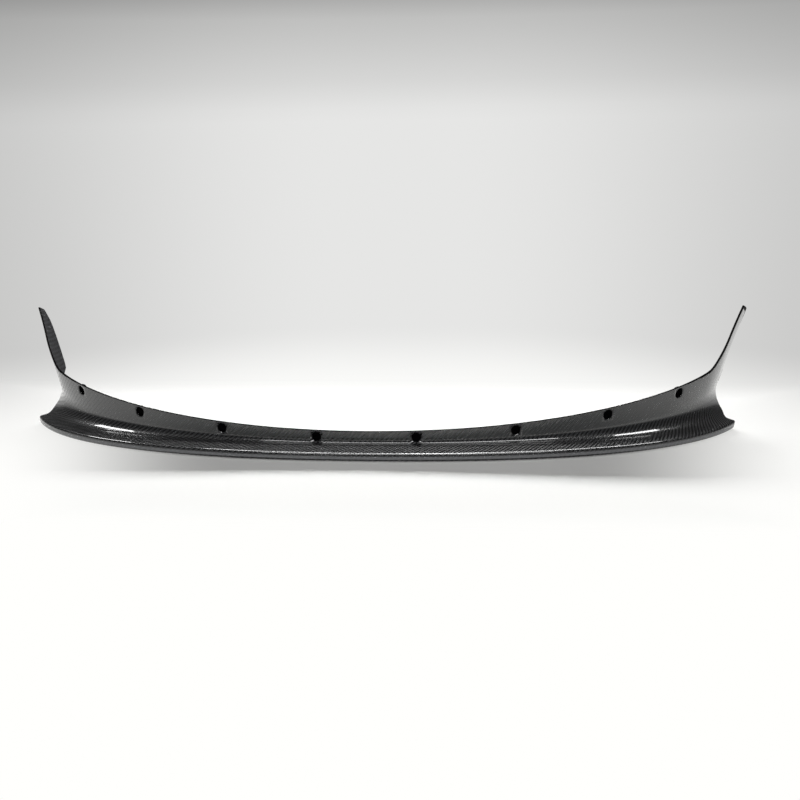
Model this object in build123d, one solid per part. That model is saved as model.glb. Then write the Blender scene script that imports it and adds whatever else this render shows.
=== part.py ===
from build123d import *
from math import atan2, cos, exp, log, radians, sin
import os

# Front splitter lip: one hollow laminate moulding, open at the back and underneath.
# X runs across the car, Y runs to the rear and Z is up. The lip lies on its bottom return, and the
# origin is under the middle of its outline. It is drawn with the flange's foot through X = Y = 0.
# All sizes are millimetres and degrees.

# Plan line of the flange's foot, one half of it: a cubic bend from the middle and a straight tail
bend_reach = 804.6
bend_sweep = 284.8
front_handle = 610.9
tail_handle = 117.8
tail_turn = 67.4
tail_length = 205.0
station_count = 7

# Laminate section
wall = 4.0
ledge_depth = 58.9
nose_height = 17.0
nose_radius = 6.0
front_rake = 3.0
bottom_radius = 5.0
bottom_return = 30.0
ground_flat = 0.5

# Heights of the flange, how its foot scoops out into the ledge, and how the wall leans at the tails
root_height = 23.3
root_rise = 7.3
scoop_middle = 7.0
scoop_end = 53.0
flange_height = 49.5
flange_rise = 102.9
tail_start = 817.6
tail_slope = 0.535
tail_blend = 6.9
top_flare = 17.4
foot_inset = 13.8
lean_power = 6
end_station = 880.0

# Wheel-side trim in side view: the blade's end, the step under the tail, and the tail's rear edge and tip
toe_y = 208.0
toe_height = 14.0
heel_y = 221.0
heel_height = 20.0
arch_y = 282.0
arch_height = 36.0
arch_radius = 16.0
step_height = 86.0
step_radius = 16.0
rear_y = 394.0
rear_radius = 25.0
crown_y = 447.0
crown_height = 208.0
tip_y = 428.5
tip_height = 241.5
tip_width = 87.0
tip_rise = 21.5
tip_radius = 18.0

# Screw wells, mirrored left and right, as stations along the plan line
well_stations = (109.5, 325.2, 530.7, 710.6)
well_drop = 14.75
well_radius = 10.5
well_rim = 2.4
well_depth = 8.0
well_wall = 2.0
screw_radius = 2.2

# Room that cutting tools have past the faces they cut
clear = 20.0
far = 2 * (bend_reach + bend_sweep + tail_length)

tail_direction = Vector(cos(radians(tail_turn)), sin(radians(tail_turn)))
bend_end = Vector(bend_reach, bend_sweep)
bend = Bezier((0, 0), (front_handle, 0), bend_end - tail_direction * tail_handle, bend_end)
plan_line = Wire([bend, Line(bend_end, bend_end + tail_direction * tail_length)])


def share(station):
    # how far out a station lies, 0 in the middle and 1 where the tail leaves the blade
    return abs(station) / end_station


def top_height(station):
    climb = tail_slope * tail_blend * log(1 + exp((abs(station) - tail_start) / tail_blend))
    return flange_height + flange_rise * share(station) ** 2 + climb


def foot_height(station):
    return root_height + root_rise * share(station) ** 2


def scoop(station):
    return scoop_middle + (scoop_end - scoop_middle) * share(station) ** 2


def section_plane(station):
    # local x points out of the flange and local y is up, with left stations mirrored from the right
    side = -1 if station < 0 else 1
    foot = plan_line.position_at(abs(station), position_mode=PositionMode.LENGTH)
    ahead = plan_line.tangent_at(abs(station), position_mode=PositionMode.LENGTH)
    outward = Vector(side * ahead.Y, -ahead.X, 0)
    return Plane(origin=(side * foot.X, foot.Y, 0), x_dir=outward, z_dir=outward.cross(Vector(0, 0, 1)))


def show_corners(station):
    # corners of the show face before rounding: flange top, foot, nose, front foot, end of the return;
    # the return is drawn below the ground and ground flat with it later
    lean = share(station) ** lean_power
    front = ledge_depth - front_rake
    return [
        Vector(top_flare * lean, top_height(station)),
        Vector(-foot_inset * lean, foot_height(station)),
        Vector(ledge_depth, nose_height),
        Vector(front, -ground_flat),
        Vector(front - bottom_return, -ground_flat),
    ]


def back_corners(corners):
    # the same corners, one wall thickness to the back of the laminate
    runs = [(b - a).normalized() for a, b in zip(corners, corners[1:])]
    sides = [Vector(run.Y, -run.X) for run in runs]
    inner = [
        corner + (one + two) * (wall / (1 + one.dot(two)))
        for corner, one, two in zip(corners[1:-1], sides, sides[1:])
    ]
    return [corners[0] + sides[0] * wall, *inner, corners[-1] + sides[-1] * wall]


def laminate_section(station):
    front = show_corners(station)
    back = back_corners(front)
    show = FilletPolyline(*front, radius=[scoop(station), nose_radius, bottom_radius])
    hidden = FilletPolyline(*back, radius=[scoop(station) + wall, 0, 0])
    ends = [Line(front[-1], back[-1]), Line(back[0], front[0])]
    return section_plane(station) * make_face([*show.edges(), *hidden.edges(), *ends])


def filled_section(station):
    # everything behind the show face, to stop the wells' cups at it
    front = show_corners(station)
    show = FilletPolyline(*front, radius=[scoop(station), nose_radius, bottom_radius])
    deep = front[1].X - (well_depth + well_wall + clear)
    rear = Polyline(front[-1], (deep, front[-1].Y), (deep, front[0].Y), front[0])
    return section_plane(station) * make_face([*show.edges(), *rear.edges()])


def well_plane(station, side):
    # origin on the show face and local z out of the flange; the middle pair is square to the car
    heading = plan_line.tangent_at(station, position_mode=PositionMode.LENGTH)
    turn = 0 if station == well_stations[0] else atan2(heading.Y, heading.X)
    top, foot = show_corners(station)[:2]
    down = (foot - top).normalized()
    origin = section_plane(side * station).from_local_coords(top + down * well_drop)
    outward = Vector(-side * sin(turn) * down.Y, cos(turn) * down.Y, down.X)
    return Plane(origin=origin, z_dir=outward)


def well_cup(plane):
    deep = well_depth + well_wall
    cup = Cylinder(well_radius + well_wall, deep + clear, align=(Align.CENTER, Align.CENTER, Align.MIN))
    return plane * (Pos(0, 0, -deep) * cup)


def well_bore(plane):
    # a chamfered mouth, a straight well with a flat floor, and the screw hole through the floor
    mouth = well_radius + well_rim
    outline = Polyline(
        (0, -well_depth),
        (well_radius, -well_depth),
        (well_radius, -well_rim),
        (mouth, 0),
        (mouth, clear),
        (0, clear),
        close=True,
    )
    profile = Plane.XZ * make_face(outline.edges())
    hole = Cylinder(screw_radius, 2 * (well_depth + well_wall))
    return plane * (revolve(profile, Axis.Z) + hole)


def side_trim():
    # the part of the side view that is kept: above the ground, ahead of the wheel and below the tail's tip
    corners = [
        (-far, 0),
        (toe_y, 0),
        (toe_y, toe_height),
        (heel_y, heel_height),
        (arch_y, arch_height),
        (arch_y, step_height),
        (rear_y, step_height),
        (crown_y, crown_height),
        (tip_y, tip_height),
        (tip_y - tip_width, tip_height + tip_rise),
        (-far, far),
    ]
    radii = [0, 0, 0, 0, arch_radius, step_radius, rear_radius, tip_radius, tip_radius, 0, 0]
    outline = FilletPolyline(*corners, radius=radii, close=True)
    return extrude(Plane.YZ * make_face(outline.edges()), far, both=True)


def splitter_lip():
    steps = [step / station_count for step in range(-station_count, station_count + 1)]
    stations = [plan_line.length * step * (3 - abs(step)) / 2 for step in steps]  # closer towards the tails
    lip = loft([laminate_section(station) for station in stations])
    behind = loft([filled_section(station) for station in stations])
    planes = [well_plane(station, side) for station in well_stations for side in (1, -1)]
    cups = [well_cup(plane) & behind for plane in planes]
    bores = [well_bore(plane) for plane in planes]
    lip = (lip & side_trim()) + cups - bores
    return Pos(0, -lip.bounding_box().center().Y, 0) * lip


os.makedirs("parts", exist_ok=True)
export_step(splitter_lip(), "parts/splitter_lip.step")
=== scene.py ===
import bpy
import numpy as np
from mathutils import Matrix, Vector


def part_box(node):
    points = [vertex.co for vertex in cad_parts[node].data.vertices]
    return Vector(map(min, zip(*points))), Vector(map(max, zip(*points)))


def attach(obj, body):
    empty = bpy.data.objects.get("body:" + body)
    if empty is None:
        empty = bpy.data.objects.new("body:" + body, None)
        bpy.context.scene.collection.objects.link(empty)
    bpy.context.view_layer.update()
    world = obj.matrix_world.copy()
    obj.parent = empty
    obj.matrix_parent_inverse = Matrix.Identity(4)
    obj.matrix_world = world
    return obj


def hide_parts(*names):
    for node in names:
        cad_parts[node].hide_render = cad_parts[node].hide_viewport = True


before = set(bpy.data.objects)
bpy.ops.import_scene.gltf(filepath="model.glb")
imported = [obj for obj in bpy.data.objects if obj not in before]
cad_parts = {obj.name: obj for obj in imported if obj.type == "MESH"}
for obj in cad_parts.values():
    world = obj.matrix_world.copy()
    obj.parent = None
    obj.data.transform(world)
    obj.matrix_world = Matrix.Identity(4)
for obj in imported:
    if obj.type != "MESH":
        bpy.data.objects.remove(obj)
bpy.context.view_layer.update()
mm = 0.001
print("frame loaded, CAD nodes:", len(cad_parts))


def hexToLinear(text):
    # sRGB hex to linear red, green, blue and alpha: a straight foot, then a power above the knee
    parts = np.array([int(text[i:i + 2], 16) for i in (1, 3, 5)]) / 255
    linear = np.where(parts <= 0.04045, parts / 12.92, ((parts + 0.055) / 1.055) ** 2.4)
    return (*linear, 1)


def addNode(tree, kind, settings=(), links=()):
    # one node with its properties or input values, and links from other sockets into its inputs; inputs
    # that share a name go by number, such as a Mix node's two values, 2 and 3, and its two colours, 6 and 7
    node = tree.nodes.new(kind)
    for name, value in dict(settings).items():
        if isinstance(name, int) or name in node.inputs:
            node.inputs[name].default_value = value
        else:
            setattr(node, name, value)
    for name, socket in dict(links).items():
        tree.links.new(socket, node.inputs[name])
    return node


def newMaterial(name):
    # a material with an empty node tree
    material = bpy.data.materials.new(name)
    material.use_nodes = True
    material.node_tree.nodes.clear()
    return material, material.node_tree


def meshObject(name, points, faces, materials):
    # points in metres and four-cornered faces, put into a smooth mesh whose object sits at the origin
    mesh = bpy.data.meshes.new(name)
    mesh.from_pydata(points.tolist(), [], faces.tolist())
    mesh.polygons.foreach_set("use_smooth", np.ones(len(mesh.polygons), bool))
    for material in materials:
        mesh.materials.append(material)
    mesh.update()
    piece = bpy.data.objects.new(name, mesh)
    bpy.context.collection.objects.link(piece)
    return piece


def gridFaces(index):
    # four-cornered faces between neighbouring rows and columns of an array of vertex numbers
    corners = [index[:-1, :-1], index[1:, :-1], index[1:, 1:], index[:-1, 1:]]
    return np.stack(corners, -1).reshape(-1, 4)


# Lip: sizes in millimetres and degrees, stations are lengths along the plan line from the middle, and the
# corners of the trim are in side view, as depth and height
lip = dict(
    bendReach=804.6, bendSweep=284.8, frontHandle=610.9, tailHandle=117.8, tailTurn=67.4, tailLength=205.0,
    wall=4.0, ledgeDepth=58.9, noseHeight=17.0, noseRadius=6.0, frontRake=3.0, bottomRadius=5.0,
    bottomReturn=30.0, rootHeight=23.3, rootRise=7.3, scoopMiddle=7.0, scoopEnd=53.0,
    flangeHeight=49.5, flangeRise=102.9, tailStart=817.6, tailSlope=0.535, tailBlend=6.9,
    topFlare=17.4, footInset=13.8, leanPower=6, endStation=880.0,
    toe=(208, 14), heel=(221, 20), arch=(282, 36), archRadius=40,  # the blade's end
    stepHeight=86.0, stepRadius=16, rearDepth=394, rearRadius=25,  # the step under the tail
    crown=(447, 208), tip=(428.5, 241.5), tipEnd=(341.5, 263), tipRadius=18,  # the tail's end
    overTip=(0, 534),  # a corner clear of the tail, to which its trim runs on
    edgeRound=0.8,  # rounding of the sanded cut edges
    paintedShadeStations=(300, 720, 840, 900), paintedShadeWidths=(0.0, 1.0, 5.0, 11.0),  # black band of painted shade along the top edge
    paintedShadeCells=2,  # cells of painted shade on the tails' rear edges and above the step
    wellStations=(109.5, 325.2, 530.7, 710.6), wellDrop=14.75, wellRings=12,
    ledgeRows=44, noseRows=9, frontRows=4, bottomRows=6, returnRows=6,
    betweenWells=(14, 20, 20, 18), evenStation=780.0, evenColumns=8, archColumns=22, tailColumns=26,
)

# How finely the lip's lines are worked out: numbers of samples, and lengths in millimetres
fine = dict(
    bend=2000, tail=300, step=600, trim=900, trimLine=4000, trimLength=900.0,
    halvings=40, deepest=250.0,  # search down a section, from its top edge to below the step
    sharp=1e-6,  # radius that stands for a sharp corner
    level=1e-9,  # a trim line that climbs less than this between two samples counts as level
    beyond=1e-3,  # how far the last station counts as past the trim line, at the least
)


def walk(corners, radii, along):
    # a path of straight runs joined by tangent arcs, walked by length: each run or arc adds its own stretch
    # to the point and its own turn to the direction; plane points are complex numbers
    runs = [b - a for a, b in zip(corners, corners[1:])]
    turns = [np.angle(b / a) for a, b in zip(runs, runs[1:])]
    tangents = [radius * np.tan(np.abs(turn) / 2) for radius, turn in zip(radii, turns)]
    point = corners[0] + 0 * along
    direction = runs[0] / np.abs(runs[0]) + 0 * along
    start, ends = 0 * along, []
    for k, run in enumerate(runs):
        length = np.abs(run) - (tangents[k] if k < len(tangents) else 0) - (tangents[k - 1] if k else 0)
        point = point + direction * np.clip(along - start, 0, length)
        start = start + length
        ends.append(start)
        if k < len(turns):
            radius = np.maximum(radii[k], fine["sharp"])
            bow = np.sign(turns[k]) / radius
            part = np.clip(along - start, 0, radius * np.abs(turns[k]))
            point = point + direction * np.expm1(1j * bow * part) / (1j * bow)
            direction = direction * np.exp(1j * bow * part)
            start = start + radii[k] * np.abs(turns[k])
            ends.append(start)
    return point, direction, ends


def planLine():
    # cubic bend from the middle and a straight tail: points with their lengths along the line, and headings
    # with the lengths at which they hold, half way between the points
    turn = np.radians(lip["tailTurn"])
    ahead = np.array([np.cos(turn), np.sin(turn)])
    end = np.array([lip["bendReach"], lip["bendSweep"]])
    post = end - ahead * lip["tailHandle"]
    t = np.linspace(0, 1, fine["bend"])[:, None]
    bend = 3 * t * (1 - t) ** 2 * [lip["frontHandle"], 0] + 3 * t ** 2 * (1 - t) * post + t ** 3 * end
    tail = end + ahead * np.linspace(0, lip["tailLength"], fine["tail"])[1:, None]
    points = np.vstack([bend, tail])
    steps = np.diff(points, axis=0)
    lengths = np.r_[0, np.cumsum(np.hypot(*steps.T))]
    return points, lengths, np.arctan2(steps[:, 1], steps[:, 0]), (lengths[1:] + lengths[:-1]) / 2


planPoints, planLengths, planHeadings, planMids = planLine()
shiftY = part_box("splitter_lip")[0].y / mm + lip["ledgeDepth"]  # drawn with the flange's foot at the origin


def sectionCorners(station):
    # flange top, foot, nose, front foot and end of the return, as reach out of the plan line and height;
    # heights and scoop grow with the square of the share of the way out, the lean with a higher power, and
    # the tail climbs on a straight slope that is blended in where it starts
    share = station / lip["endStation"]
    lean = share ** lip["leanPower"]
    past = (station - lip["tailStart"]) / lip["tailBlend"]
    climb = lip["tailSlope"] * lip["tailBlend"] * np.logaddexp(0, past)
    top = lip["flangeHeight"] + lip["flangeRise"] * share ** 2 + climb
    foot = lip["rootHeight"] + lip["rootRise"] * share ** 2
    scoop = lip["scoopMiddle"] + (lip["scoopEnd"] - lip["scoopMiddle"]) * share ** 2
    front = lip["ledgeDepth"] - lip["frontRake"]
    corners = [
        lip["topFlare"] * lean + 1j * top,
        -lip["footInset"] * lean + 1j * foot,
        lip["ledgeDepth"] + 1j * lip["noseHeight"] + 0 * station,
        front + 0j * station,
        front - lip["bottomReturn"] + 0j * station,
    ]
    return corners, [scoop, lip["noseRadius"], lip["bottomRadius"]]


def place(station, planePoint):
    # a point of a section, set out square to the plan line at its station
    heading = np.interp(station, planMids, planHeadings)
    x = np.interp(station, planLengths, planPoints[:, 0]) + planePoint.real * np.sin(heading)
    y = np.interp(station, planLengths, planPoints[:, 1]) - planePoint.real * np.cos(heading)
    return np.stack([x, y + shiftY, planePoint.imag], -1)


def aim(station, planeDirection):
    # a direction of a section, turned to stand square to the plan line at its station
    heading = np.interp(station, planMids, planHeadings)
    side = planeDirection.real
    return np.stack([side * np.sin(heading), -side * np.cos(heading), planeDirection.imag], -1)


def showFace(station, along):
    # show face and its outward direction at a station and a length down from the flange's top edge
    point, direction, _ = walk(*sectionCorners(station), along)
    return place(station, point), aim(station, 1j * direction)


def stepLine():
    # lengths down to the step's height, found by halving, and the station where the step begins
    stations = np.linspace(lip["evenStation"], planLengths[-1], fine["step"])
    low, high = 0 * stations, 0 * stations + fine["deepest"]
    for _ in range(fine["halvings"]):
        middle = (low + high) / 2
        above = walk(*sectionCorners(stations), middle)[0].imag > lip["stepHeight"]
        low, high = np.where(above, middle, low), np.where(above, high, middle)
    depths = showFace(stations, low)[0][:, 1] - shiftY
    return stations, low, np.interp(lip["arch"][0] + lip["stepRadius"], depths, stations)


stepStations, stepLengths, stepStart = stepLine()


def rowStops(station):
    # lengths down the section at which the groups of rows begin and end, and each row's group and its part
    # of the group's length
    _, _, ends = walk(*sectionCorners(station), 0 * station)
    edge = lip["edgeRound"]
    stops = np.stack([edge + 0 * station, 2 * lip["wellDrop"] + 0 * station, *ends[2:6], ends[6] - edge])
    counts = [lip[key] for key in ("ledgeRows", "noseRows", "frontRows", "bottomRows", "returnRows")]
    first = np.arange(2 * lip["wellRings"] + 1) / (2 * lip["wellRings"])
    part = np.concatenate([first] + [(np.arange(count) + 1) / count for count in counts])
    return stops, np.repeat(np.arange(len(counts) + 1), [len(first), *counts]), part


def stepRowAt():
    # the row that comes nearest to the step's height where the step begins
    stops, group, part = rowStops(np.array(stepStart))
    lengths = stops[group] * (1 - part) + stops[group + 1] * part
    return int(np.argmin(np.abs(lengths - np.interp(stepStart, stepStations, stepLengths)))), len(part)


stepRow, rowCount = stepRowAt()


def rowLengths(station):
    # length down the section for every row of a grid of stations: even rows past the wells, then rows by
    # feature; towards the tails the rows slide so that one of them runs along the step
    stops, group, part = rowStops(station)
    row = np.arange(rowCount)
    part = part[:, None]
    lengths = stops[group, row] * (1 - part) + stops[group + 1, row] * part
    k = group[stepRow]
    level = stops[k] * (1 - part[stepRow]) + stops[k + 1] * part[stepRow]
    near = np.clip((station - lip["evenStation"]) / (stepStart - lip["evenStation"]), 0, 1)
    slide = near ** 2 * (3 - 2 * near) * (np.interp(station, stepStations, stepLengths) - level)
    tent = np.minimum((lengths - stops[0]) / (level - stops[0]), (stops[2] - lengths) / (stops[2] - level))
    return lengths + slide * np.clip(tent, 0, 1)


def trimLines():
    # two trim lines, each as corners and the radii of those between its ends: up the blade's end to the
    # step, and from the step up the tail's rear edge and over its tip
    stepIn = (lip["arch"][0], lip["stepHeight"])
    stepOut = (lip["rearDepth"], lip["stepHeight"])
    blade = [(lip["toe"][0], 0), lip["toe"], lip["heel"], lip["arch"], stepIn, stepOut]
    tail = [stepIn, stepOut, lip["crown"], lip["tip"], lip["tipEnd"], lip["overTip"]]
    bladeRadii = [0, 0, lip["archRadius"], lip["stepRadius"]]
    tailRadii = [lip["rearRadius"], lip["tipRadius"], lip["tipRadius"], 0]
    return (blade, bladeRadii), (tail, tailRadii)


def trimmedEnds(corners, radii):
    # station at which each row meets a trim line, which is one height-to-depth line in side view
    along = np.linspace(0, fine["trimLength"], fine["trimLine"])
    path, _, _ = walk([complex(*corner) for corner in corners], radii, along)
    rising = np.r_[True, np.diff(np.maximum.accumulate(path.imag)) > fine["level"]]
    depth, height = path.real[rising], path.imag[rising]
    scan = np.linspace(lip["evenStation"], planLengths[-1], fine["trim"])
    stations = np.tile(scan, (rowCount, 1))
    points, _ = showFace(stations, rowLengths(stations))
    past = points[..., 1] - shiftY - np.interp(points[..., 2], height, depth) + lip["edgeRound"]
    past[:, -1] = np.maximum(past[:, -1], fine["beyond"])
    first = np.argmax(past > 0, 1)
    rows = np.arange(len(past))
    low, high = past[rows, first - 1], past[rows, first]
    return scan[first - 1] + (scan[first] - scan[first - 1]) * (-low / (high - low))


def stationGrid():
    # columns that all rows share as far as the even station, columns that stretch to the blade's end or to
    # where the step begins, and the tail's columns that stretch to its rear edge
    half = lip["wellDrop"]
    shared, low, centres = [np.zeros(1)], 0.0, []
    for station, count in zip(lip["wellStations"], lip["betweenWells"]):
        shared.append(np.linspace(low, station - half, count + 1)[1:])
        centres.append(sum(map(len, shared)) - 1 + lip["wellRings"])
        shared.append(np.linspace(station - half, station + half, 2 * lip["wellRings"] + 1)[1:])
        low = station + half
    shared.append(np.linspace(low, lip["evenStation"], lip["evenColumns"] + 1)[1:])
    shared = np.concatenate(shared)
    bladeTrim, tailTrim = trimLines()
    upper = np.arange(rowCount) <= stepRow
    blade = np.where(upper, stepStart, trimmedEnds(*bladeTrim))[:, None]
    tail = np.where(upper, trimmedEnds(*tailTrim), blade[:, 0])[:, None]
    part = np.linspace(0, 1, lip["archColumns"] + 1)[1:]
    onward = np.linspace(0, 1, lip["tailColumns"] + 1)[1:]
    stations = [
        np.tile(shared, (rowCount, 1)),
        lip["evenStation"] + (blade - lip["evenStation"]) * part,
        blade + (tail - blade) * onward,
    ]
    return np.hstack(stations), centres, len(shared) - 1 + lip["archColumns"]


# Screw wells: radius of each ring from the screw hole to the mouth, and how far it lies behind the show
# face, in millimetres; a film closes the hole, and film and bore are black as painted shade
well = dict(
    showRadii=(0, 2.2, 2.2, 2.6, 9.3, 9.9, 10.1, 10.1, 10.25, 10.6, 11.0, 11.3),
    showDepths=(9.5, 9.5, 8, 8, 8, 7.75, 7.2, 1.4, 1.05, 0.7, 0.3, 0),
    backRadii=(0, 1.1, 2.2, 2.2, 3.4, 8, 11.6, 12.2, 12.5, 12.6, 13.1, 14),
    backDepths=(9.7, 9.7, 9.7, 10, 10, 10, 10, 9.85, 9.2, 5.2, 4.35, 4),
    drapedRing=8,  # from here out the rings lie on the face, also where the flange's foot begins to scoop
)


def wellRings(station, radii, depths, wall):
    # a square block of the grid turned into round rings: the larger of the two steps from the middle is the
    # ring, the place along the ring's square is the angle
    n = lip["wellRings"]
    down, across = np.mgrid[-n:n + 1, -n:n + 1].astype(float)
    ring = np.maximum(np.abs(down), np.abs(across)).astype(int)
    wide = np.abs(across) >= np.abs(down)
    safe = np.where(wide, np.where(across == 0, 1, across), np.where(down == 0, 1, down))
    angle = np.where(wide, np.pi / 4 * down / safe, np.pi / 2 - np.pi / 4 * across / safe)
    angle = angle + np.pi * (safe < 0)
    radius = np.append(radii, 0)[ring]
    depth = np.append(depths, 0)[ring]
    centre, out = showFace(np.array(station), np.array(lip["wellDrop"]))
    corners, _ = sectionCorners(np.array(station))
    slope = (corners[1] - corners[0]) / np.abs(corners[1] - corners[0])
    fall = aim(np.array(station), slope)
    level = np.cross(fall, out)
    level = level * np.sign(level[0])
    flat = centre + radius[..., None] * (np.cos(angle)[..., None] * level + np.sin(angle)[..., None] * fall)
    flat = flat - depth[..., None] * out
    lain, normal = showFace(station + radius * np.cos(angle), lip["wellDrop"] + radius * np.sin(angle))
    lain = lain - wall * normal - (depth - wall)[..., None] * out
    return np.where((ring < well["drapedRing"])[..., None], flat, lain), ring


def addWells(show, back, centres):
    # each well takes the place of a square block of both grids; gives back which points lie in a bore
    n = lip["wellRings"]
    bored = np.zeros(show.shape[:2], bool)
    for station, centre in zip(lip["wellStations"], centres):
        block = np.s_[0:2 * n + 1, centre - n:centre + n + 1]
        points, ring = wellRings(station, well["showRadii"], well["showDepths"], 0)
        show[block] = np.where((ring < n)[..., None], points, show[block])
        points, ring = wellRings(station, well["backRadii"], well["backDepths"], lip["wall"])
        back[block] = np.where((ring < n)[..., None], points, back[block])
        bored[block] = ring <= well["drapedRing"]
    return bored


def weaveMaterial(name, weave):
    # 2x2 twill cloth: two tows over and two under, stepped by one tow on each row, and each tow bowed
    repeat, weftBelow = 4.0, 1.5  # tows in one repeat, and the steps of it at which the weft lies on top
    material, tree = newMaterial(name)
    uv = addNode(tree, "ShaderNodeUVMap", dict(uv_map="cloth"))
    scale = dict(operation="SCALE", Scale=1 / weave["tow"])
    tows = addNode(tree, "ShaderNodeVectorMath", scale, {0: uv.outputs[0]})
    cell = addNode(tree, "ShaderNodeVectorMath", dict(operation="FLOOR"), {0: tows.outputs[0]})
    inside = addNode(tree, "ShaderNodeVectorMath", dict(operation="FRACTION"), {0: tows.outputs[0]})
    cells = addNode(tree, "ShaderNodeSeparateXYZ", {}, {0: cell.outputs[0]})
    insides = addNode(tree, "ShaderNodeSeparateXYZ", {}, {0: inside.outputs[0]})
    links = {0: cells.outputs[0], 1: cells.outputs[1]}
    steps = addNode(tree, "ShaderNodeMath", dict(operation="ADD"), links)
    wrap = {"operation": "FLOORED_MODULO", 1: repeat}
    wrapped = addNode(tree, "ShaderNodeMath", wrap, {0: steps.outputs[0]})
    below = {"operation": "LESS_THAN", 1: weftBelow}
    weftUp = addNode(tree, "ShaderNodeMath", below, {0: wrapped.outputs[0]})
    links = {0: weftUp.outputs[0], 2: insides.outputs[0], 3: insides.outputs[1]}
    crossing = addNode(tree, "ShaderNodeMix", {}, links)
    bowed = addNode(tree, "ShaderNodeMath", {"operation": "MULTIPLY", 1: np.pi}, {0: crossing.outputs[0]})
    height = addNode(tree, "ShaderNodeMath", dict(operation="SINE"), {0: bowed.outputs[0]})
    relief = dict(Strength=weave["relief"], Distance=weave["rise"])
    bump = addNode(tree, "ShaderNodeBump", relief, dict(Height=height.outputs[0]))
    tones = {"data_type": "RGBA", 6: hexToLinear(weave["darkTow"]), 7: hexToLinear(weave["lightTow"])}
    tone = addNode(tree, "ShaderNodeMix", tones, {0: weftUp.outputs[0]})
    roughs = {2: weave["darkRough"], 3: weave["lightRough"]}
    rough = addNode(tree, "ShaderNodeMix", roughs, {0: weftUp.outputs[0]})
    links = {"Base Color": tone.outputs[2], "Roughness": rough.outputs[0], "Normal": bump.outputs[0]}
    shader = addNode(tree, "ShaderNodeBsdfPrincipled", weave["surface"], links)
    addNode(tree, "ShaderNodeOutputMaterial", {}, {0: shader.outputs[0]})
    return material


# third: satin with a pale tone of painted light; fourth: the sanded edges' black, also painted shade
clearCoated, roughBack, satinPaintedLight, blackEdgeAndPaintedShade = range(4)  # order of the lip's materials


def lipMaterials():
    # Show face: twill carbon cloth wet out with epoxy in a polished mould and clear coated, so the ribs of
    # lighter and darker tows lie under a sharp, hard gloss. Tows that lie across the light scatter it
    # widely, the others send it on in one direction, so they differ in roughness.
    tow = 2.7 * mm  # drawn a little coarser than real tows, so that they still show at the picture's scale
    show = dict(tow=tow, darkTow="#0B0B0C", lightTow="#28292B", relief=0.5, rise=0.12 * mm)
    show.update(darkRough=0.24, lightRough=0.5)
    show["surface"] = {"IOR": 1.45, "Coat Weight": 1.0, "Coat Roughness": 0.04, "Coat IOR": 1.6}
    # Back: the same cloth under thin resin, dull and rough from the peel cloth it was cured against.
    back = dict(tow=tow, darkTow="#0E0E0F", lightTow="#1D1D1F", relief=0.5, rise=0.2 * mm)
    back.update(darkRough=0.6, lightRough=0.6)
    back["surface"] = {"IOR": 1.45, "Specular IOR Level": 0.06}
    # Front face of the blade: the same cloth, its coat an even satin; its tows are painted pale grey,
    # painted light that stands in for the bright sheen this face shows.
    front = dict(tow=tow, darkTow="#737476", lightTow="#7B7C7E", relief=0.2, rise=0.12 * mm)
    front.update(darkRough=0.45, lightRough=0.45)
    front["surface"] = {"IOR": 1.45, "Coat Weight": 0.5, "Coat Roughness": 0.25, "Coat IOR": 1.5}
    # Cut edges: sanded and sealed with black resin, almost without gloss. The same black is painted shade in
    # the well bores and in the bands along the top edge, the tails' rear edges and above the step.
    edge, tree = newMaterial("sanded black edge and painted shade")
    look = {"Base Color": hexToLinear("#040405"), "Roughness": 0.55, "Specular IOR Level": 0.02}
    shader = addNode(tree, "ShaderNodeBsdfPrincipled", look)
    addNode(tree, "ShaderNodeOutputMaterial", {}, {0: shader.outputs[0]})
    looks = {"clear coated": show, "rough back": back, "satin with painted light": front}
    return [weaveMaterial("twill carbon laminate, " + name, look) for name, look in looks.items()] + [edge]


def mirrored(half, flip):
    # the left half is the right half times the flip, without its middle column
    return np.concatenate([half[:, :0:-1] * flip, half], 1)


def borderOf(index, column):
    # vertex numbers round the border of the lip, with the step under each tail left out
    right = index.shape[1] // 2 + column
    left = index.shape[1] // 2 - column
    runs = [
        index[0, :], index[1:stepRow + 1, -1], index[stepRow, -2:right - 1:-1], index[stepRow + 1:, right],
        index[-1, right - 1:left - 1:-1], index[-2:stepRow - 1:-1, left], index[stepRow, left - 1::-1],
        index[stepRow - 1:0:-1, 0],
    ]
    return np.concatenate(runs)


def sandedRim(border, behind):
    # four loops that round the cut edge over from the show face's border to the back's: a bend half done, a
    # bend done, and the same in the other order
    across = (border - behind) / lip["wall"]
    onward = np.roll(border, -1, 0) - np.roll(border, 1, 0)
    outward = np.cross(across, onward)
    outward *= lip["edgeRound"] / np.linalg.norm(outward, axis=1, keepdims=True)
    across = across * lip["edgeRound"]
    slant = 0.707  # sine of 45 degrees
    bends = [(border, slant, slant - 1), (border, 1, -1), (behind, 1, 1), (behind, slant, 1 - slant)]
    return np.stack([base + outward * out + across * over for base, out, over in bends])


def bandFaces(loops):
    # four-cornered faces between neighbouring closed loops
    corners = [loops[:-1], np.roll(loops, -1, 1)[:-1], np.roll(loops, -1, 1)[1:], loops[1:]]
    return np.stack(corners, -1).reshape(-1, 4)


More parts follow.
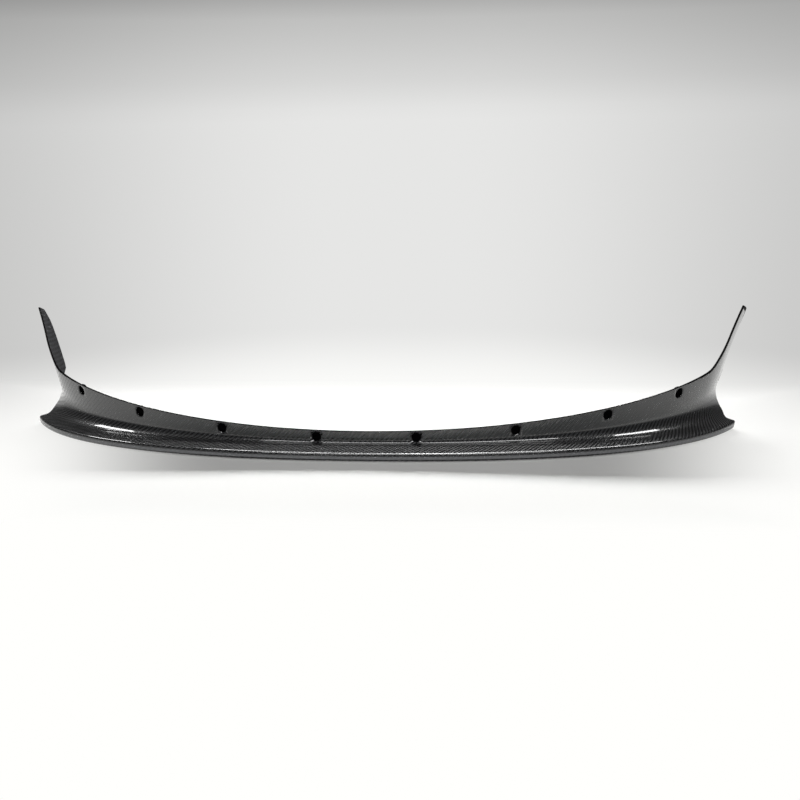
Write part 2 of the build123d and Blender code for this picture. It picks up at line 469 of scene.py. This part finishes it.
def cellLooks(bored, cloth, stepColumn):
    # cells of the show face that are kept, which those in the step under each tail aren't, and the material
    # of each: black as painted shade in the bores, in a band along the top edge as wide as listed for its
    # station, and along the tails' rear edges and above the step; satin with a pale tone of painted light on
    # the front face, and clear coated elsewhere
    left = bored.shape[1] // 2 - stepColumn
    right = bored.shape[1] // 2 + stepColumn
    kept = np.ones((bored.shape[0] - 1, bored.shape[1] - 1), bool)
    kept[stepRow:, right:] = False
    kept[stepRow:, :left] = False
    # painted shade: the cells of the bores are black
    dark = bored[:-1, :-1] & bored[1:, 1:] & bored[1:, :-1] & bored[:-1, 1:]
    paintedBandWidth = np.interp(np.abs(cloth[..., 0]), lip["paintedShadeStations"], lip["paintedShadeWidths"])
    # painted shade: a black band along the top edge, widening towards the tails
    dark |= (0.5 * (cloth[:-1, :, 1] + cloth[1:, :, 1]) < paintedBandWidth[:-1])[:, :-1]
    cells = lip["paintedShadeCells"]
    # painted shade: black bands along the tails' rear edges and above the step
    dark[:stepRow, :cells] = True
    dark[:stepRow, -cells:] = True
    dark[stepRow - cells:stepRow, :left] = True
    dark[stepRow - cells:stepRow, right:] = True
    looks = np.full(kept.shape, clearCoated)
    # painted light: the front face's rows take the satin whose pale tone stands in for its bright sheen
    looks[2 * lip["wellRings"] + lip["ledgeRows"] + lip["noseRows"]:][:lip["frontRows"]] = satinPaintedLight
    return kept, np.where(dark, blackEdgeAndPaintedShade, looks)


def buildLip(materials):
    # closed shell: the show face, the back one wall behind it and turned over, and the sanded rim between
    # their borders; the right half is worked out and then mirrored
    stations, centres, stepColumn = stationGrid()
    along = rowLengths(stations)
    show, normal = showFace(stations, along)
    back = show - lip["wall"] * normal
    bored = mirrored(addWells(show, back, centres), True)
    flip = np.array([-1, 1, 1])
    show, back = mirrored(show, flip), mirrored(back, flip)
    cloth = np.stack([mirrored(stations, -1), mirrored(along, 1)], -1)
    kept, looks = cellLooks(bored, cloth, stepColumn)

    # points and cloth coordinates of the show face, the back and the rim, one after the other
    count = bored.size
    showIndex = np.arange(count).reshape(bored.shape)
    loop = borderOf(showIndex, stepColumn)
    show, back, cloth = show.reshape(-1, 3), back.reshape(-1, 3), cloth.reshape(-1, 2)
    rim = sandedRim(show[loop], back[loop])
    rimIndex = 2 * count + np.arange(rim[..., 0].size).reshape(rim.shape[:2])
    points = np.concatenate([show, back, rim.reshape(-1, 3)]) * mm
    cloth = np.concatenate([cloth, cloth, np.tile(cloth[loop], (len(rim), 1))]) * mm

    front = gridFaces(showIndex)[kept.ravel()]
    behind = gridFaces(showIndex + count)[kept.ravel()][:, ::-1]
    bands = bandFaces(np.vstack([loop[None], rimIndex, loop[None] + count]))
    looks = [looks[kept], np.full(len(behind), roughBack), np.full(len(bands), blackEdgeAndPaintedShade)]
    used, faces = np.unique(np.concatenate([front, behind, bands]), return_inverse=True)
    piece = meshObject("lip_laminate", points[used], faces.reshape(-1, 4), materials)
    piece.data.polygons.foreach_set("material_index", np.concatenate(looks).astype(np.int32))
    corner = np.empty(len(piece.data.loops), np.int32)
    piece.data.loops.foreach_get("vertex_index", corner)
    piece.data.uv_layers.new(name="cloth").data.foreach_set("uv", cloth[used][corner].ravel())
    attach(piece, "root")
    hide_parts("splitter_lip")
    return piece


lipPiece = buildLip(lipMaterials())
print("lip laminate:", len(lipPiece.data.polygons), "faces")


# Floor: one flat sheet, in metres; close to the lip it is lit by the lamps, and before, behind and aside of
# it shows its own tone, white that fades into pale grey and darkens to both sides of the camera's heading
floor = dict(
    half=60.0, white="#FBFBF9", near="#FFFFFD", pale="#E6E6E5", grey="#C6C6C5",
    before=(-0.38, -0.62), behind=(0.0, 0.45),  # depths over which it stops being lit
    fade=(0.15, 1.3), sideLead=0.5,  # depths over which white fades, and how much sooner at the sides
    side=(0.05, 0.5),  # slants off the camera's heading over which it darkens
    aside=(0.2, 1.0),  # parts of that darkening over which it stops being lit
    standOff=2.317, sideOff=-0.273, sideTurn=0.093,  # the camera's place and heading
)


def addSide(tree, across, ahead):
    # how far out to the side, as a share of the distance ahead, eased from 0 to 1
    slant = addNode(tree, "ShaderNodeMath", dict(operation="DIVIDE"), {0: across, 1: ahead})
    turn = {"operation": "ADD", 1: floor["sideTurn"]}
    turned = addNode(tree, "ShaderNodeMath", turn, {0: slant.outputs[0]})
    side = addNode(tree, "ShaderNodeMath", dict(operation="ABSOLUTE"), {0: turned.outputs[0]})
    limits = dict(zip(("From Min", "From Max"), floor["side"]), interpolation_type="SMOOTHSTEP")
    return addNode(tree, "ShaderNodeMapRange", limits, {0: side.outputs[0]}).outputs[0]


def addSeen(tree):
    # 1 for rays that see a surface: from the camera, from a mirroring face or through glass
    path = addNode(tree, "ShaderNodeLightPath")
    names = ("Is Camera Ray", "Is Glossy Ray", "Is Transmission Ray")
    first, second, third = (path.outputs[name] for name in names)
    pair = addNode(tree, "ShaderNodeMath", dict(operation="MAXIMUM"), {0: first, 1: second})
    links = {0: pair.outputs[0], 1: third}
    return addNode(tree, "ShaderNodeMath", dict(operation="MAXIMUM"), links).outputs[0]


def floorMaterial():
    # matt painted board: even, pale and without gloss
    material, tree = newMaterial("matt painted floor")
    where = addNode(tree, "ShaderNodeTexCoord")
    parts = addNode(tree, "ShaderNodeSeparateXYZ", {}, {0: where.outputs["Object"]})
    depth = parts.outputs[1]
    shift = {"operation": "ADD", 1: floor["sideOff"]}
    across = addNode(tree, "ShaderNodeMath", shift, {0: parts.outputs[0]})
    ahead = addNode(tree, "ShaderNodeMath", {"operation": "ADD", 1: floor["standOff"]}, {0: depth})
    side = addSide(tree, across.outputs[0], ahead.outputs[0])
    lead = {"operation": "MULTIPLY_ADD", 1: floor["sideLead"]}
    reach = addNode(tree, "ShaderNodeMath", lead, {0: side, 2: depth})
    eased = dict(before=depth, behind=depth, fade=reach.outputs[0], aside=side)
    for name, value in eased.items():
        limits = dict(zip(("From Min", "From Max"), floor[name]), interpolation_type="SMOOTHSTEP")
        eased[name] = addNode(tree, "ShaderNodeMapRange", limits, {0: value}).outputs[0]
    tones = {"data_type": "RGBA", 6: hexToLinear(floor["pale"]), 7: hexToLinear(floor["grey"])}
    far = addNode(tree, "ShaderNodeMix", tones, {0: side})
    tones = {"data_type": "RGBA", 6: hexToLinear(floor["near"])}
    colour = addNode(tree, "ShaderNodeMix", tones, {0: eased["fade"], 7: far.outputs[2]})
    glow = addNode(tree, "ShaderNodeEmission", {}, {"Color": colour.outputs[2]})
    paint = addNode(tree, "ShaderNodeBsdfDiffuse", dict(Color=hexToLinear(floor["white"])))
    links = {0: eased["before"], 1: eased["behind"]}
    ends = addNode(tree, "ShaderNodeMath", dict(operation="ADD"), links)
    links = {0: ends.outputs[0], 1: eased["aside"]}
    away = addNode(tree, "ShaderNodeMath", dict(operation="MAXIMUM"), links)
    links = {0: addSeen(tree), 1: away.outputs[0]}
    part = addNode(tree, "ShaderNodeMath", dict(operation="MULTIPLY"), links)
    links = {0: part.outputs[0], 1: paint.outputs[0], 2: glow.outputs[0]}
    both = addNode(tree, "ShaderNodeMixShader", {}, links)
    addNode(tree, "ShaderNodeOutputMaterial", {}, {0: both.outputs[0]})
    return material


def buildFloor():
    # one square face round the origin
    x, y = np.meshgrid([-floor["half"], floor["half"]], [-floor["half"], floor["half"]])
    points = np.stack([x, y, 0 * x], -1).reshape(-1, 3)
    meshObject("floor", points, np.array([[0, 1, 3, 2]]), [floorMaterial()])


buildFloor()
print("floor laid")


# Surroundings: tone by height of the direction, pale at the horizon and dark overhead, dimmed to the sides;
# as a light they are weaker than they look
surroundings = dict(
    heights=(0.0, 0.012, 0.036, 0.09, 0.15, 0.25),
    tones=("#E6E6E5", "#E3E3E2", "#D6D6D5", "#C0C0BF", "#606060", "#525252"),
    sideTone=0.714, light=0.10,
)


def buildWorld():
    # a ramp over the upward part of the direction, times the tone to the side for rays that see it
    world = bpy.data.worlds.new("studio")
    world.use_nodes = True
    tree = world.node_tree
    tree.nodes.clear()
    where = addNode(tree, "ShaderNodeTexCoord")
    parts = addNode(tree, "ShaderNodeSeparateXYZ", {}, {0: where.outputs["Generated"]})
    ramp = addNode(tree, "ShaderNodeValToRGB", {}, {0: parts.outputs[2]})
    stops = ramp.color_ramp.elements
    while len(stops) < len(surroundings["heights"]):
        stops.new(1.0)
    for stop, height, tone in zip(stops, surroundings["heights"], surroundings["tones"]):
        stop.position = height
        stop.color = hexToLinear(tone)
    side = addSide(tree, parts.outputs[0], parts.outputs[1])
    limits = {"To Min": 1.0, "To Max": surroundings["sideTone"]}
    dim = addNode(tree, "ShaderNodeMapRange", limits, {0: side})
    links = {0: addSeen(tree), 3: dim.outputs[0]}
    bright = addNode(tree, "ShaderNodeMix", {2: surroundings["light"]}, links)
    links = {"Color": ramp.outputs[0], "Strength": bright.outputs[0]}
    background = addNode(tree, "ShaderNodeBackground", {}, links)
    addNode(tree, "ShaderNodeOutputWorld", {}, {0: background.outputs[0]})
    bpy.context.scene.world = world


buildWorld()
print("surroundings set")


# Soft studio light: place, aim and size in metres, power in watts; the boxes light without being
# reflected, and the strips are only reflected, so that they give the gloss its highlights and leave the
# floor's shadow alone
lamps = dict(
    boxes=dict(
        ceiling=dict(place=(0, -0.6, 3.6), aim=(0, -0.6, 0), size=(6.0, 5.0), power=65),
        rear=dict(place=(0, 3.0, 1.25), aim=(0, -0.3, 0), size=(1.6, 0.4), power=270),
        frontFill=dict(place=(0.2, -3.0, 0.3), aim=(0, -0.25, 0), size=(3.0, 0.3), power=28),
    ),
    strips=dict(
        frontStrip=dict(place=(0.05, -1.0, 2.3), aim=(0, -0.2, 0), size=(2.2, 0.35), power=30),
        rearStrip=dict(place=(0.0, 0.95, 2.05), aim=(0, -0.2, 0), size=(2.4, 0.35), power=65),
        leftStrip=dict(place=(-1.95, 0.33, 1.66), aim=(-0.56, -0.14, 0), size=(0.5, 0.5), power=12),
        rightStrip=dict(place=(1.56, 0.23, 1.95), aim=(0.56, -0.14, 0), size=(0.5, 0.5), power=12),
        middleStrip=dict(place=(0.12, 0.95, 2.05), aim=(0, -0.2, 0), size=(0.45, 0.35), power=13),
    ),
)


def facing(spot, back, roll):
    # matrix of a thing that looks along minus its local z, kept level and then rolled, in radians
    steep = 0.999  # upward part of a direction that counts as straight down
    level = [0, 0, 1] if abs(back[2]) < steep else [0, 1, 0]
    right = np.cross(level, back)
    right = right / np.linalg.norm(right)
    up = np.cross(back, right)
    across, above = right * np.cos(roll) + up * np.sin(roll), up * np.cos(roll) - right * np.sin(roll)
    matrix = np.eye(4)
    matrix[:3] = np.column_stack([across, above, back, spot])
    return Matrix(matrix.tolist())


def addLamp(name, lamp, reflected):
    # a rectangle of light that looks from its place to its aim
    light = bpy.data.lights.new(name + " soft box", "AREA")
    light.shape = "RECTANGLE"
    light.size, light.size_y = lamp["size"]
    light.energy = lamp["power"]
    piece = bpy.data.objects.new(name + " soft box", light)
    piece.visible_glossy = reflected
    piece.visible_diffuse = not reflected
    bpy.context.collection.objects.link(piece)
    spot = np.array(lamp["place"], float)
    back = spot - np.array(lamp["aim"], float)
    piece.matrix_world = facing(spot, back / np.linalg.norm(back), 0)


for group, members in lamps.items():
    for name, lamp in members.items():
        addLamp(name, lamp, group == "strips")
print("lamps set")


# Camera: metres and degrees, solved from the mirror symmetry of the lip in the 800 pixel wide photograph
shot = dict(
    target=(0.06182, 0.150, 0.07992), height=15.188, side=5.305, roll=-1.086, distance=2.3672,
    focalPixels=1030.1, widthPixels=800, sensor=36,  # the sensor's width is in millimetres
)


def addCamera():
    # set back from its target by the distance, turned to the side and raised
    rise, side = np.radians(shot["height"]), np.radians(shot["side"])
    back = np.array([np.sin(side) * np.cos(rise), -np.cos(side) * np.cos(rise), np.sin(rise)])
    camera = bpy.data.cameras.new("camera")
    camera.sensor_width = shot["sensor"]
    camera.lens = shot["focalPixels"] / shot["widthPixels"] * camera.sensor_width
    piece = bpy.data.objects.new("camera", camera)
    bpy.context.collection.objects.link(piece)
    spot = np.array(shot["target"]) + [0, shiftY * mm, 0] + back * shot["distance"]
    piece.matrix_world = facing(spot, back, np.radians(shot["roll"]))
    bpy.context.scene.camera = piece


addCamera()
bpy.context.scene.view_settings.view_transform = "Standard"
print("camera set")
